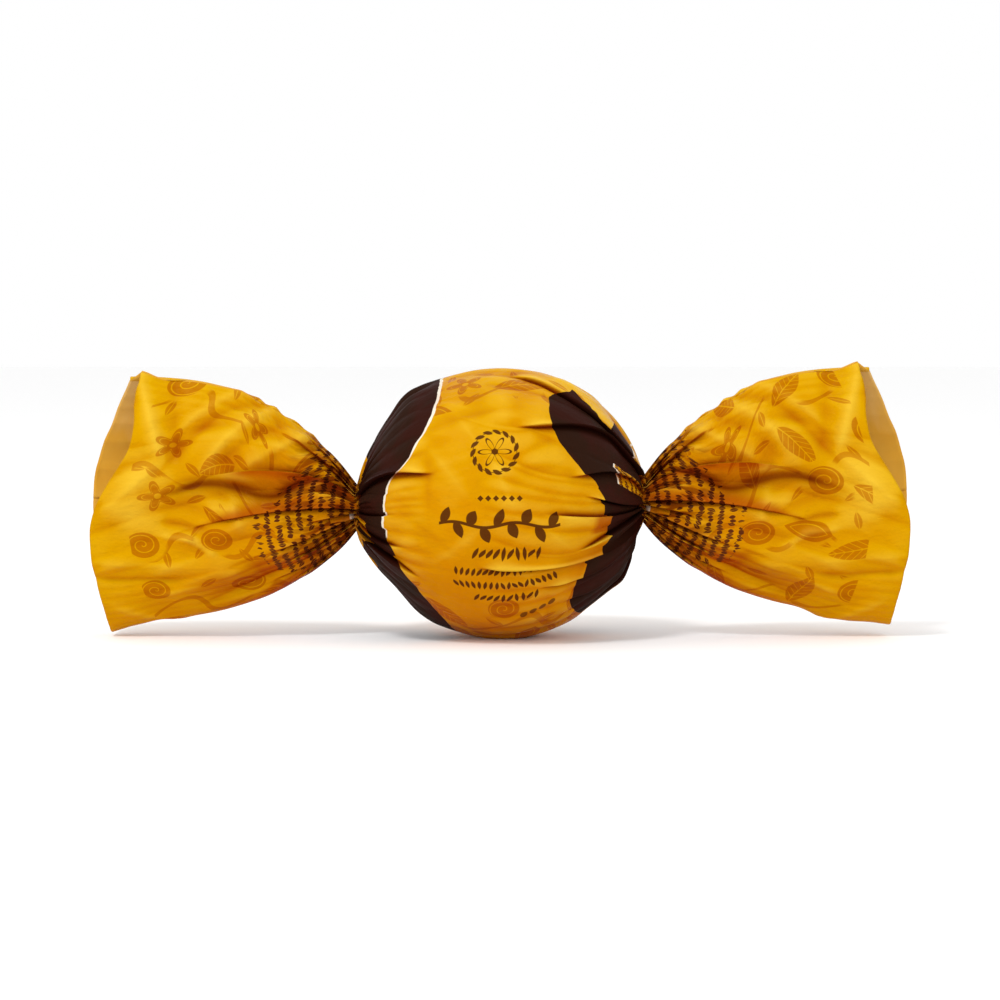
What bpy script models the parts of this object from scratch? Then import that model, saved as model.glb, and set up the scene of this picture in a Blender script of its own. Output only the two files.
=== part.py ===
"""A chocolate truffle in its twist wrapper: a round ball in thin film, which is pleated
and gathered into a neck on each side and fans out past it into a flattened, open wing.

The wrapped piece is shut, so it is one closed solid, hollow only inside the two wings.
Metres, +Z up. X runs from wing to wing, the label faces -Y, and the origin is on the
surface that the ball rests on, straight below its middle.
"""

import math

import bmesh
import bpy

MM = 0.001

# The ball in its film
BALL_HALF_LENGTH = 20.1 * MM  # along X, from the middle to where the pleats meet
BALL_RADIUS = 18.85 * MM
FLAT_SPOT_DEPTH = 0.25 * MM  # how much of the round the flat spot takes away
NECK_RADIUS = 3.4 * MM
NECK_REACH = 20.6 * MM  # from the middle to the tightest place of each neck
LOW_CHORD = 1.6 * MM  # how far the film cuts the corner below the left neck

# The wings
WING_REACH = 51.9 * MM  # from the middle to the corners of each mouth
RIM_BOW = 4.9 * MM  # how far the middle of a mouth stands past its corners
LOW_CORNER_LEAD = 3.8 * MM  # how far the lower corner stands past the upper one
WING_HALF_HEIGHT = 18.25 * MM
WING_HALF_DEPTH = 5.6 * MM
FILM_WALL = 0.6 * MM
HOLLOW_START = 0.3  # share of a wing's length from the neck that is shut solid
LEFT_NECK_DROP = 0.8 * MM  # the left neck lies this far below the ball's middle
RIGHT_NECK_RISE = 0.3 * MM
MOUTH_RISE = 1.3 * MM  # a mouth's middle above its neck
MOUTH_SWAY = 1.5 * MM  # how far back a mouth's middle swings from its neck

# Pleats, as waves round the neck axis
BALL_PLEATS = 11
BALL_PLEAT_DEPTH = 1.3 * MM
WING_FOLDS = 9
WING_FOLD_DEPTH = 0.9 * MM
MOUTH_WAVES = 5
MOUTH_WAVE_DEPTH = 0.45 * MM
MAIN_CREASE_DEPTH = 1.5 * MM  # the long fold from the neck to the middle of a wing
MAIN_CREASE_WIDTH = math.radians(16)
TWIST = math.radians(70)  # how far the folds turn as they pass a neck

TURN_STEPS = 72
BALL_STEPS = 13
WING_STEPS = 10
HOLLOW_STEPS = 6

MIDDLE_HEIGHT = BALL_RADIUS - FLAT_SPOT_DEPTH
WING_LENGTH = WING_REACH - NECK_REACH


def clear_scene():
    for item in list(bpy.data.objects):
        bpy.data.objects.remove(item, do_unlink=True)


def new_collection(name):
    collection = bpy.data.collections.new(name)
    bpy.context.scene.collection.children.link(collection)
    return collection


def smooth_step(value, low, high):
    share = min(max((value - low) / (high - low), 0.0), 1.0)
    return share * share * (3.0 - 2.0 * share)


def wing_radius(share):
    """Half height of a wing at a share of its length from the neck."""
    opened = math.sqrt(max(1.0 - (1.0 - share) ** 2, 0.0))
    return math.hypot(NECK_RADIUS, (WING_HALF_HEIGHT - 0.4 * MM) * opened)


def half_profile():
    """(x, radius) from the ball's middle over the rim to the end of a wing's hollow."""
    end_turn = math.acos(NECK_RADIUS / BALL_RADIUS)
    points = []
    for step in range(1, BALL_STEPS + 1):
        turn = end_turn * step / BALL_STEPS
        points.append((BALL_HALF_LENGTH * math.sin(turn), BALL_RADIUS * math.cos(turn)))
    points.append((NECK_REACH, NECK_RADIUS * 0.96))
    for step in range(1, WING_STEPS + 1):
        share = (step / WING_STEPS) ** 1.4
        points.append((NECK_REACH + WING_LENGTH * share, wing_radius(share)))
    for step in range(HOLLOW_STEPS):
        share = 1.0 - (1.0 - HOLLOW_START) * step / HOLLOW_STEPS
        points.append((NECK_REACH + WING_LENGTH * share, wing_radius(share) - FILM_WALL))
    blind_end = NECK_REACH + WING_LENGTH * HOLLOW_START
    points.append((blind_end, 0.0))
    return points


def turned_wrapper(collection):
    """The wrapper as a plain turned shape round X, closed at the ends of its hollows."""
    right = half_profile()
    left = [(-x, radius) for x, radius in reversed(right)]
    profile = left + [(0.0, BALL_RADIUS)] + right
    mesh = bpy.data.meshes.new("profile")
    mesh.from_pydata(
        [(x, 0.0, radius) for x, radius in profile],
        [(step, step + 1) for step in range(len(profile) - 1)],
        [],
    )
    guide = bpy.data.objects.new("profile", mesh)
    collection.objects.link(guide)
    screw = guide.modifiers.new("turn", "SCREW")
    screw.axis = "X"
    screw.angle = math.tau
    screw.steps = TURN_STEPS
    screw.render_steps = TURN_STEPS
    screw.use_merge_vertices = True
    screw.merge_threshold = 0.00001
    evaluated = guide.evaluated_get(bpy.context.evaluated_depsgraph_get())
    turned = bpy.data.meshes.new_from_object(evaluated)
    bpy.data.objects.remove(guide, do_unlink=True)
    return turned


def fold_wave(angle, count, phase):
    """A pleat wave: narrow valleys between rounder ridges, from -1 to 1."""
    wave = math.cos(count * angle + phase)
    uneven = 0.35 * math.cos((count - 4) * angle + 2.1 * phase + 0.7)
    return (wave + uneven) / 1.35


def shape_ball(x, radius, angle, side):
    """Pleats that grow towards the neck, and the film's short cut below the left one."""
    share = abs(x) / BALL_HALF_LENGTH
    depth = BALL_PLEAT_DEPTH * smooth_step(share, 0.4, 0.97)
    radius += depth * (min(fold_wave(angle, BALL_PLEATS, side * 0.9), 0.3) - 0.3)
    if side < 0:
        low = max(-math.sin(angle), 0.0) ** 2
        radius -= LOW_CHORD * low * smooth_step(share, 0.45, 0.8) * (1.0 - share**8)
    neck = -LEFT_NECK_DROP if side < 0 else RIGHT_NECK_RISE
    lift = neck * smooth_step(share, 0.4, 1.0)
    y = -radius * math.cos(angle)
    z = MIDDLE_HEIGHT + radius * math.sin(angle) + lift
    return x, y, z


def shape_wing(x, radius, angle, side):
    """A wing: folds that die out towards an oval, wavy mouth with a bowed rim."""
    share = min((abs(x) - NECK_REACH) / WING_LENGTH, 1.0)
    turned = angle + TWIST * smooth_step(share, -0.1, 0.3)
    depth = WING_FOLD_DEPTH * smooth_step(share, -0.02, 0.12) * (1.0 - share) ** 0.7
    radius += depth * fold_wave(turned, WING_FOLDS, side * 0.4)
    opened = smooth_step(share, 0.0, 0.4)
    half_depth = NECK_RADIUS + (WING_HALF_DEPTH - NECK_RADIUS) * opened
    height = radius * math.sin(angle)
    depth_out = half_depth * math.cos(angle) * radius / wing_radius(share)
    waves = MOUTH_WAVE_DEPTH * smooth_step(share, 0.3, 1.0)
    depth_out += waves * math.cos(MOUTH_WAVES * angle + side)
    from_crease = angle + 0.12 * share
    crease = math.exp(-((from_crease / MAIN_CREASE_WIDTH) ** 2))
    depth_out -= MAIN_CREASE_DEPTH * crease * smooth_step(share, 0.1, 0.5) * (1.0 - share) ** 0.4
    across = height / WING_HALF_HEIGHT
    bow = RIM_BOW * (1.0 - across * across) - LOW_CORNER_LEAD * 0.5 * across
    x_out = x + math.copysign(bow * smooth_step(share, 0.2, 1.0), x)
    neck = -LEFT_NECK_DROP if side < 0 else RIGHT_NECK_RISE
    z = MIDDLE_HEIGHT + neck + height + MOUTH_RISE * smooth_step(share, 0.0, 1.0)
    y = MOUTH_SWAY * share * share - depth_out
    return x_out, y, z


def shape_wrapper(mesh):
    """Moves the turned shape's points to where the film is gathered and spread."""
    for vertex in mesh.vertices:
        x, y, z = vertex.co
        radius = math.hypot(y, z)
        angle = math.atan2(z, -y)
        side = math.copysign(1.0, x)
        shape = shape_ball if abs(x) < BALL_HALF_LENGTH else shape_wing
        vertex.co = shape(x, radius, angle, side)
    shaped = bmesh.new()
    shaped.from_mesh(mesh)
    bmesh.ops.remove_doubles(shaped, verts=shaped.verts, dist=0.00001)
    bmesh.ops.recalc_face_normals(shaped, faces=shaped.faces)
    shaped.to_mesh(mesh)
    shaped.free()


def film_material():
    material = bpy.data.materials.new("yellow_film")
    material.use_nodes = True
    shader = material.node_tree.nodes["Principled BSDF"]
    shader.inputs["Base Color"].default_value = (0.72, 0.36, 0.012, 1.0)
    shader.inputs["Roughness"].default_value = 0.35
    shader.inputs["Metallic"].default_value = 0.0
    return material


def floor_cutter(collection):
    """A block whose top face takes the flat spot off the underside of the ball."""
    side = 2.0 * BALL_RADIUS
    bpy.ops.mesh.primitive_cube_add(size=1.0, location=(0.0, 0.0, -side / 2.0))
    cutter = bpy.context.object
    cutter.name = "floor_cutter"
    cutter.scale = (side, side, side)
    cutter.hide_render = True
    cutter.display_type = "WIRE"
    for owner in list(cutter.users_collection):
        owner.objects.unlink(cutter)
    collection.objects.link(cutter)
    return cutter


def build_truffle():
    parts = new_collection("chocolate_truffle")
    cutters = new_collection("cutters")
    mesh = turned_wrapper(parts)
    shape_wrapper(mesh)
    mesh.name = "wrapped_truffle"
    mesh.shade_smooth()
    mesh.materials.append(film_material())
    truffle = bpy.data.objects.new("wrapped_truffle", mesh)
    parts.objects.link(truffle)
    cut = truffle.modifiers.new("flat_spot", "BOOLEAN")
    cut.operation = "DIFFERENCE"
    cut.solver = "EXACT"
    cut.object = floor_cutter(cutters)


clear_scene()
build_truffle()
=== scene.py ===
import math
import bpy
import numpy as np
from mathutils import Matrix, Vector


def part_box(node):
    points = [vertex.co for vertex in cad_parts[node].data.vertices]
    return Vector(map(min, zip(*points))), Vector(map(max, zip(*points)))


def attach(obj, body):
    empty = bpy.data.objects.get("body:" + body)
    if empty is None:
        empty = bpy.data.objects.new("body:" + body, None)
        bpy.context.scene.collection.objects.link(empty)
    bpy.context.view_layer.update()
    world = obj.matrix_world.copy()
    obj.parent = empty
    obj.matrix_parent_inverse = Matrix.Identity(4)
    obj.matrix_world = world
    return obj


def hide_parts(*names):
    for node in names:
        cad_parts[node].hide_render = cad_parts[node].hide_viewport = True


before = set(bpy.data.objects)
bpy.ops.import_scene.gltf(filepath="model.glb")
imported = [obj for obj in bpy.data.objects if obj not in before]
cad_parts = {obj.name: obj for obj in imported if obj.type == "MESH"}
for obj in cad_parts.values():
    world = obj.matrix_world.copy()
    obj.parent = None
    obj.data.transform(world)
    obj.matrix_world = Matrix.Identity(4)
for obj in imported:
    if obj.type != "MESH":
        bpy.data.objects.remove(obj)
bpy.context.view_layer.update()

mm = 0.001
truffleLow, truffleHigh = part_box("wrapped_truffle")
ballRadius = (truffleHigh[1] - truffleLow[1]) / 2 / mm
flatSpot = 0.25  # how far the ball is pressed flat where it rests
ballMiddle = ballRadius - flatSpot  # height of the ball's middle above the table
filmAround = math.tau * ballRadius  # the sheet's width, once round the ball


def deselectAll():
    if bpy.context.object and bpy.context.object.mode != "OBJECT":
        bpy.ops.object.mode_set(mode="OBJECT")
    bpy.ops.object.select_all(action="DESELECT")


def ramp(value, low, high):
    share = np.clip((value - low) / (high - low), 0.0, 1.0)
    return share * share * (3.0 - 2.0 * share)


def bump(value, middle, reach):
    return np.exp(-((value - middle) / reach) ** 2)


def filmNoise(u, v, seed):
    # soft gradient noise over the flat sheet, about -0.7 to 0.7
    angles = np.random.default_rng(seed).uniform(0, math.tau, (64, 64))
    cellU, cellV = np.floor(u).astype(int), np.floor(v).astype(int)
    inU, inV = u - cellU, v - cellV
    fadeU, fadeV = (f * f * f * (f * (6 * f - 15) + 10) for f in (inU, inV))

    def corner(stepU, stepV):
        angle = angles[(cellU + stepU) % 64, (cellV + stepV) % 64]
        return np.cos(angle) * (inU - stepU) + np.sin(angle) * (inV - stepV)

    low = corner(0, 0) * (1 - fadeU) + corner(1, 0) * fadeU
    high = corner(0, 1) * (1 - fadeU) + corner(1, 1) * fadeU
    return low * (1 - fadeV) + high * fadeV


def crumple(along, width, look):
    # straight creases with flat film between them, as in film that was crushed and opened
    chance = np.random.default_rng(look["seed"])
    total = np.zeros_like(along)
    low, high = look["from"], look["to"]
    for _ in range(look["count"]):
        middle = chance.uniform(low, high), chance.uniform(width.min(), width.max())
        turn = math.radians(look["lean"] + look["spread"] * chance.standard_normal())
        size = chance.uniform(0.6, 1.4)
        height = look["height"] * size * chance.choice((-1.0, 1.0))
        u, v = along - middle[0], width - middle[1]
        across = v * math.cos(turn) - u * math.sin(turn)
        down = u * math.cos(turn) + v * math.sin(turn)
        tent = np.exp(-np.sqrt(across * across + look["edge"] ** 2) / (look["reach"] * size))
        total += height * tent * np.exp(-((down / (look["length"] * size)) ** 2))
    return total


# One pleat: degrees round the piece at its start and at the neck (0 is the front, 90 the
# top), how far from the middle it starts, its share of the gathered film, which edge lies
# on top (1 the upper, -1 the lower), how high that edge stands, and how far the film just
# below it has slid outwards. Left, then right.
ballPleats = [
    ((78, 76, 16.8, 0.7, 1, 0.30, 0.2), (72.8, 50, 0.6, 1.2, 1, 0.50, -0.3)),
    ((60, 58, 16.2, 0.8, 1, 0.30, -0.3), (36.0, 50, 1.6, 1.0, 1, 0.60, -0.5)),
    ((40, 42, 15.8, 0.8, -1, 0.30, 0.2), (15, 25, 8.6, 0.9, 1, 0.45, 0.3)),
    ((16.8, 27, 8.4, 0.7, 1, 0.70, -0.3), (6.0, -1, 11.0, 0.9, 1, 0.55, -0.7)),
    ((6, 11, 16.5, 0.7, 1, 0.30, 0.1), (-2.2, -7, 5.5, 0.9, -1, 0.36, 0.6)),
    ((-2, -4, 14.0, 1.0, -1, 0.45, 1.1), (-21, -15, 10.0, 1.0, -1, 0.70, 0.7)),
    ((-21, -23, 12.4, 0.9, -1, 0.70, -1.6), (-25, -27, -3.5, 1.6, 1, 0.62, -0.7)),
    ((-37, -27, 10.4, 1.1, -1, 0.80, -0.3), (-36, -39, 4.5, 1.0, 1, 0.40, 0.3)),
    ((-56, -52, 14.5, 0.9, 1, 0.40, 0.3), (-50, -54, 8.0, 0.9, 1, 0.40, -0.5)),
    ((-75, -72, 15.0, 0.9, -1, 0.35, 0.0), (-70, -72, 12.5, 0.9, -1, 0.40, 0.2)),
]
# degrees at the neck, half way and at the mouth, where it has opened, share, edge, height
wingPleats = [
    (80, 82, 84, 10, 0.8, -1, 0.20),
    (64, 68, 72, 12, 0.9, 1, 0.25),
    (50, 54, 57, 15, 0.9, 1, 0.30),
    (36, 21, 2, 25, 1.6, -1, 0.22),
    (3, -5, -24, 25, 1.8, 1, 0.35),
    (-18, -32, -42, 14, 1.0, 1, 0.45),
    (-38, -46, -54, 12, 0.9, -1, 0.40),
    (-56, -61, -66, 15, 1.0, 1, 0.45),
    (-74, -78, -82, 12, 0.9, -1, 0.35),
]
backPleats = {"count": 8, "from": -95.0, "to": -255.0, "jitter": 5.0, "seed": 11}
lap = {  # the sheet's free edge along the top
    "angle": 82.0,
    "height": 0.14,
    "fade": 8.0,  # degrees over which its height fades
    "calm": 6.0,  # degrees beside it that have no dents
    "columns": 2,
}
wall = {"columns": 4, "width": 0.26}  # the hidden side of each pleat


def backAngles(seed):
    chance = np.random.default_rng(seed)
    spread = np.linspace(backPleats["from"], backPleats["to"], backPleats["count"])
    return spread + chance.uniform(-1, 1, len(spread)) * backPleats["jitter"]


def ballTable(side):
    rows = [pair[0 if side < 0 else 1] for pair in ballPleats]
    chance = np.random.default_rng(backPleats["seed"] + side)
    for angle in backAngles(backPleats["seed"]):
        start = 8.0 + 8.0 * chance.random()
        edge = 1 if chance.random() < 0.5 else -1
        rows.append((angle, angle + 3 * chance.standard_normal(), start, 1.0, edge, 0.4, 0.0))
    slides = np.array([row[6] for row in rows])
    every = addSmallPleats([row[:6] for row in rows], 2, (14.2, 17.0), chance)
    return np.column_stack((every, np.repeat(slides, 2)[:-1]))


def addSmallPleats(rows, startColumn, starts, chance):
    # a finer pleat between each two of the others, close to the neck
    rows = np.array(rows, dtype=float)
    between = (rows[1:] + rows[:-1]) / 2
    between[:, startColumn] = chance.uniform(*starts, len(between))
    between[:, -3] = 0.6
    between[:, -2] = chance.choice((-1.0, 1.0), len(between))
    between[:, -1] = 0.22
    every = np.empty((len(rows) + len(between), rows.shape[1]))
    every[0::2], every[1::2] = rows, between
    return every


def wingTable():
    rows = list(wingPleats)
    chance = np.random.default_rng(backPleats["seed"] + 9)
    for place, angle in enumerate(backAngles(backPleats["seed"] + 7)):
        opened = 80.0 if place in (1, 4) else 11.0 + 6.0 * chance.random()
        edge = 1 if chance.random() < 0.5 else -1
        share = 1.4 if opened > 50 else 1.0
        end = angle + 4 * chance.standard_normal()
        rows.append((angle, (angle + end) / 2, end, opened, share, edge, 0.45))
    return addSmallPleats(rows, 3, (6.0, 10.0), chance)


def keepOrder(angles, gap):
    # neighbouring pleats never cross
    for number in range(1, angles.shape[1]):
        angles[:, number] = np.minimum(angles[:, number], angles[:, number - 1] - gap)
    return angles


def fillWalls(values, inWall):
    # the hidden side of a pleat joins the two stretches of film beside it
    known = np.flatnonzero(~inWall)
    hiddenOnes = np.flatnonzero(inWall)
    after = known[np.searchsorted(known, hiddenOnes)]
    before = known[np.searchsorted(known, hiddenOnes) - 1]
    part = (hiddenOnes - before) / (after - before)
    shape = (1, -1) + (1,) * (values.ndim - 2)
    part = part.reshape(shape)
    values[:, hiddenOnes] = values[:, before] * (1 - part) + values[:, after] * part
    return values


def gatherFilm(angles, arcAt, hidden, pleated, weights, edges, heights, columns):
    # Lays every ring of the sheet in pleats, from the lap over the front and the back to
    # the lap again. All tables have a row for each ring and a column for each pleat.
    count = angles.shape[1]
    total = weights.sum(1)
    pleated = pleated * (1.0 - np.exp(-total / 3.0))
    shares = (pleated * hidden / np.maximum(total, 1e-6))[:, None] * weights
    # what is too fine to see as pleats draws the print together
    fine = 1.0 + (1.0 - pleated) * hidden / (filmAround - hidden)
    ends = np.full((len(angles), 1), lap["angle"])
    bounds = np.concatenate((ends, angles, ends - 360.0), axis=1)
    place, lift, width, layersAndShade, pocketShade, inWall = [], [], [], [], [], []
    used = np.zeros(len(angles))
    pocketReach = 0.35 + 0.5 * (total / total.max())[:, None]
    for number, steps in enumerate(columns):
        share = np.linspace(0.0, 1.0, steps + 1)[None, :]
        upper, lower = bounds[:, number], bounds[:, number + 1]
        arcPerDegree = arcAt((upper + lower) / 2) * math.pi / 180
        half = wall["width"] / 2 / arcPerDegree
        half = np.minimum(half, 0.12 * (upper - lower))
        top = upper - (half if number > 0 else 0.0)
        bottom = lower + (half if number < count else 0.0)
        arc = ((top - bottom) * arcPerDegree)[:, None]
        fade = np.clip(0.4 * arc, 0.05, 2.4)
        swell = 0.05 * np.minimum(arc, 5.0) * 4 * share * (1 - share)
        lifted = swell * np.minimum(heights.max(1), 0.6)[:, None] * 2
        shift = np.zeros_like(share * arc)
        layer = np.zeros_like(share * arc)
        deep = np.zeros_like(share * arc)
        for pleat, away, outer in ((number - 1, share * arc, -1), (number, (1 - share) * arc, 1)):
            if 0 <= pleat < count:
                near = np.exp(-away / fade)
                high = heights[:, pleat, None]
                onTop = (edges[:, pleat, None] * outer) > 0
                lifted = lifted + near * np.where(onTop, high, -0.7 * high)
                shift = shift + outer * -0.3 * np.minimum(high, 0.5) * near
                # the film on top beside a pleat's edge lies doubled; darkening it there is partly that
                # and partly painted shade along the fold
                folded = np.maximum(shares[:, pleat, None] / 2, 0.05)
                doubledAndShade = np.exp(-((away / folded / 0.7) ** 2)) * ramp(folded, 0.1, 1.6)
                layer = np.where(onTop, np.maximum(layer, doubledAndShade), layer)
                # painted shade in the pocket beneath each pleat's edge, wider near the neck
                shaded = np.exp(-away / pocketReach) * np.clip(high / 0.4, 0, 1)
                deep = np.where(onTop, deep, np.maximum(deep, shaded))
        spread = top[:, None] - share * (top - bottom)[:, None]
        place.append(spread + shift / arcPerDegree[:, None])
        for values, added in ((lift, lifted), (layersAndShade, layer), (pocketShade, deep)):
            values.append(added)
        arc = arc * fine[:, None]
        width.append(used[:, None] - share * arc)
        inWall.append(np.zeros(steps + 1, bool))
        if bounds[0, number] > 0 > bounds[0, number + 1]:
            frontWidth = used - top / (top - bottom) * arc[:, 0]
        used = used - arc[:, 0]
        if number < count:
            inPleat = shares[:, number] + 2 * half * arcPerDegree * fine
            steps = wall["columns"] - 1
            blank = np.zeros((len(angles), steps))
            part = np.linspace(0.0, 1.0, steps + 2)[1:-1][None, :]
            for values in (place, lift, layersAndShade, pocketShade):
                values.append(blank)
            width.append(used[:, None] - part * inPleat[:, None])
            inWall.append(np.ones(steps, bool))
            used = used - inPleat
    place, lift, width, layersAndShade, pocketShade = (
        np.concatenate(a, axis=1) for a in (place, lift, width, layersAndShade, pocketShade)
    )
    inWall = np.concatenate(inWall)
    for values in (place, layersAndShade, pocketShade):
        fillWalls(values, inWall)
    return place, lift, width - frontWidth[:, None], layersAndShade, pocketShade, inWall


def closeLap(points, *others):
    # the free edge: the front's film ends on top of the back's
    steps = lap["columns"]
    share = np.linspace(0.0, 1.0, steps + 1)[None, :-1, None]
    edge = points[:, -1:, :] * (1 - share) + points[:, :1, :] * share
    joined = [np.concatenate((np.repeat(a[:, :1], steps, axis=1), a), axis=1) for a in others]
    return [np.concatenate((edge, points), axis=1)] + joined


def awayFromLap(place):
    # 0 at the free edge, where both ends of the sheet have to meet, and 1 further off
    fromStart, fromEnd = lap["angle"] - place, place - lap["angle"] + 360
    return ramp(fromStart, 0.0, lap["calm"]) * ramp(fromEnd, 0.0, lap["calm"])


def lapRise(place):
    return lap["height"] * np.exp(-(lap["angle"] - place) / lap["fade"])


def panelBounds(angles):
    # the free edge, every pleat and the free edge again, half way along the sheet
    return np.concatenate(([lap["angle"]], angles[len(angles) // 2], [lap["angle"] - 360]))


def shareColumns(total, lengths):
    # how many cells each panel between two pleats gets
    return np.maximum(3, np.rint(total * lengths / lengths.sum())).astype(int)


def outward(shape, along, angle):
    # the film's outward direction on a smooth shape that takes (along, angle)
    alongWay = shape(along + 0.05, angle) - shape(along - 0.05, angle)
    roundWay = shape(along, angle + 0.4) - shape(along, angle - 0.4)
    normal = np.cross(alongWay, roundWay)
    return normal / np.maximum(np.linalg.norm(normal, axis=-1, keepdims=True), 1e-9)


def reliefOf(lift, full):
    # 1 on a sharp ridge of the film and -1 in a sharp valley
    mean = lift
    for axis in (0, 1, 0, 1):
        reach = 4
        first, last = np.take(mean, [0], axis), np.take(mean, [-1], axis)
        padded = np.concatenate(
            (np.repeat(first, reach + 1, axis), mean, np.repeat(last, reach, axis)), axis
        )
        total = np.cumsum(padded, axis)
        size = 2 * reach + 1
        count = total.shape[axis]
        high = np.take(total, np.arange(size, count), axis)
        mean = (high - np.take(total, np.arange(count - size), axis)) / size
    return np.clip((lift - mean) / full, -1.0, 1.0)


def wrapSheet(name, points, along, width, marks):
    # A flat sheet is added with one cell for each step, then every point of it is taken to
    # its place in the wrapper. Its own map keeps the flat film's millimetres.
    rows, columns = along.shape
    deselectAll()
    bpy.ops.mesh.primitive_grid_add(x_subdivisions=rows - 1, y_subdivisions=columns - 1, size=1)
    sheet = bpy.context.object
    sheet.name = name
    mesh = sheet.data
    flat = np.empty(len(mesh.vertices) * 3)
    mesh.vertices.foreach_get("co", flat)
    flat = flat.reshape(-1, 3)
    row = np.rint((flat[:, 0] + 0.5) * (rows - 1)).astype(int)
    column = np.rint((flat[:, 1] + 0.5) * (columns - 1)).astype(int)
    mesh.vertices.foreach_set("co", (points[row, column] * mm).ravel())
    corners = np.empty(len(mesh.loops), dtype=np.int32)
    mesh.loops.foreach_get("vertex_index", corners)
    sheetMap = np.stack((along[row, column], width[row, column]), axis=1)[corners]
    mesh.uv_layers[0].name = "flatFilm"
    mesh.uv_layers["flatFilm"].data.foreach_set("uv", sheetMap.ravel())
    for mark, values in marks.items():
        mesh.attributes.new(mark, "FLOAT", "POINT").data.foreach_set("value", values[row, column])
    mesh.update()
    bpy.ops.object.mode_set(mode="EDIT")
    bpy.ops.mesh.select_all(action="SELECT")
    bpy.ops.mesh.remove_doubles(threshold=0.0000005)
    bpy.ops.object.mode_set(mode="OBJECT")
    return sheet


def faceOut(sheet):
    # turns the sheet over if its faces look at the piece's own axis
    mesh = sheet.data
    normal = np.empty(len(mesh.polygons) * 3)
    centre = np.empty(len(mesh.polygons) * 3)
    mesh.polygons.foreach_get("normal", normal)
    mesh.polygons.foreach_get("center", centre)
    centre = centre.reshape(-1, 3) - np.array([0.0, 0.0, ballMiddle * mm])
    outwardness = (normal.reshape(-1, 3)[:, 1:] * centre[:, 1:]).sum()
    if outwardness < 0:
        bpy.ops.object.mode_set(mode="EDIT")
        bpy.ops.mesh.select_all(action="SELECT")
        bpy.ops.mesh.flip_normals()
        bpy.ops.object.mode_set(mode="OBJECT")


# the film over the ball, in millimetres
ball = {
    "halfLength": 20.05,  # from the middle to where the pleats meet
    "neckRadius": 3.0,
    "rows": 160,
    "columns": 470,
    "pleated": 0.5,  # how much of the gathered film lies in pleats
    "sharpFold": 0.20,  # a fold this high counts as a sharp one
    "leftNeckDrop": 0.84,
    "rightNeckRise": 0.28,
    "lowChord": 2.1,  # how far the film cuts the corner below the left neck
}
ballCreases = {"count": 110, "seed": 31, "from": -27, "to": 27, "lean": 0, "spread": 38,
               "length": 4.0, "reach": 1.3, "height": 0.16, "edge": 0.05}
ballFineCreases = {"count": 160, "seed": 32, "from": -27, "to": 27, "lean": 0, "spread": 30,
                   "length": 2.2, "reach": 0.7, "height": 0.045, "edge": 0.10}
ballDents = [  # where along the film, degrees round, reach along, reach round, height
    (-13.5, 90, 3.0, 26, 0.75),
    (-24.6, 90, 2.6, 40, -0.6),
    (0.5, 90, 6.0, 40, -0.35),
    (13.0, -88, 4.0, 26, -0.35),
    (20.0, 90, 4.0, 30, -0.7),
    (19.0, -88, 1.6, 30, 0.5),
    (25.2, -88, 2.2, 35, -1.7),
]


def ballMeridian():
    # how far along X and from it the film lies, for the way along the film from the middle
    last = math.acos(ball["neckRadius"] / ballRadius)
    turn = np.linspace(0.0, last, 400)
    x = np.append(ball["halfLength"] * np.sin(turn), (20.25, 20.7, 21.3))
    radius = np.append(ballRadius * np.cos(turn), (2.75, 2.45, 2.3))
    way = np.concatenate(([0.0], np.cumsum(np.hypot(np.diff(x), np.diff(radius)))))
    return way, x, radius, way[399]


meridianWay, meridianX, meridianRadius, neckWay = ballMeridian()


def meridianAt(along):
    x = np.sign(along) * np.interp(np.abs(along), meridianWay, meridianX)
    return x, np.interp(np.abs(along), meridianWay, meridianRadius)


def ballShape(along, angle):
    x, radius = meridianAt(along)
    turn = np.radians(angle)
    low = np.maximum(-np.sin(turn), 0.0) ** 2
    chord = ramp(-x, 8.5, 16.0) * (1.0 - np.minimum(np.abs(x) / 20.0, 1.0) ** 20)
    radius = radius - ball["lowChord"] * low * chord
    neck = np.where(along < 0, -ball["leftNeckDrop"], ball["rightNeckRise"])
    rise = neck * ramp(np.abs(x), 8.0, 19.5)
    y = -radius * np.cos(turn)
    z = ballMiddle + rise + radius * np.sin(turn)
    return np.stack((x, y, z), axis=-1)


def ballPleating(x, radius):
    # where every pleat lies on each ring, its share of the film, which edge is on top, how high
    # it stands and how far the film below it has slid
    left, right = ballTable(-1), ballTable(1)
    angles, weights, edges, heights, slides = (np.empty((len(x), len(left))) for _ in range(5))

    def grow(starts, reach):
        return [ramp(out, start, start + reach) for start, out in zip(starts, (-x, x))]

    for pleat, (l, r) in enumerate(zip(left, right)):
        starts = l[2], r[2]
        bent = [
            a + (b - a) * ramp(out, start, 19.0)
            for (a, b, start), out in ((l[:3], -x), (r[:3], x))
        ]
        middle = ramp(x, min(1.0 - l[2], r[2] - 3.0), r[2])
        angles[:, pleat] = bent[0] * (1 - middle) + bent[1] * middle
        grown = grow(starts, 7.0)
        weights[:, pleat] = l[3] * grown[0] + r[3] * grown[1]
        edges[:, pleat] = np.where(x < (r[2] - l[2]) / 2, l[4], r[4])
        raised = grow(starts, 4.5)
        heights[:, pleat] = l[5] * raised[0] + r[5] * raised[1]
        slid = grow([max(start, 9.0) for start in starts], 3.5)
        slides[:, pleat] = r[6] * slid[1] - l[6] * slid[0]
    heights *= np.minimum(1.0, 0.35 + radius / 9.0)[:, None]
    return keepOrder(angles, 2.0), weights, edges, heights, slides


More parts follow.
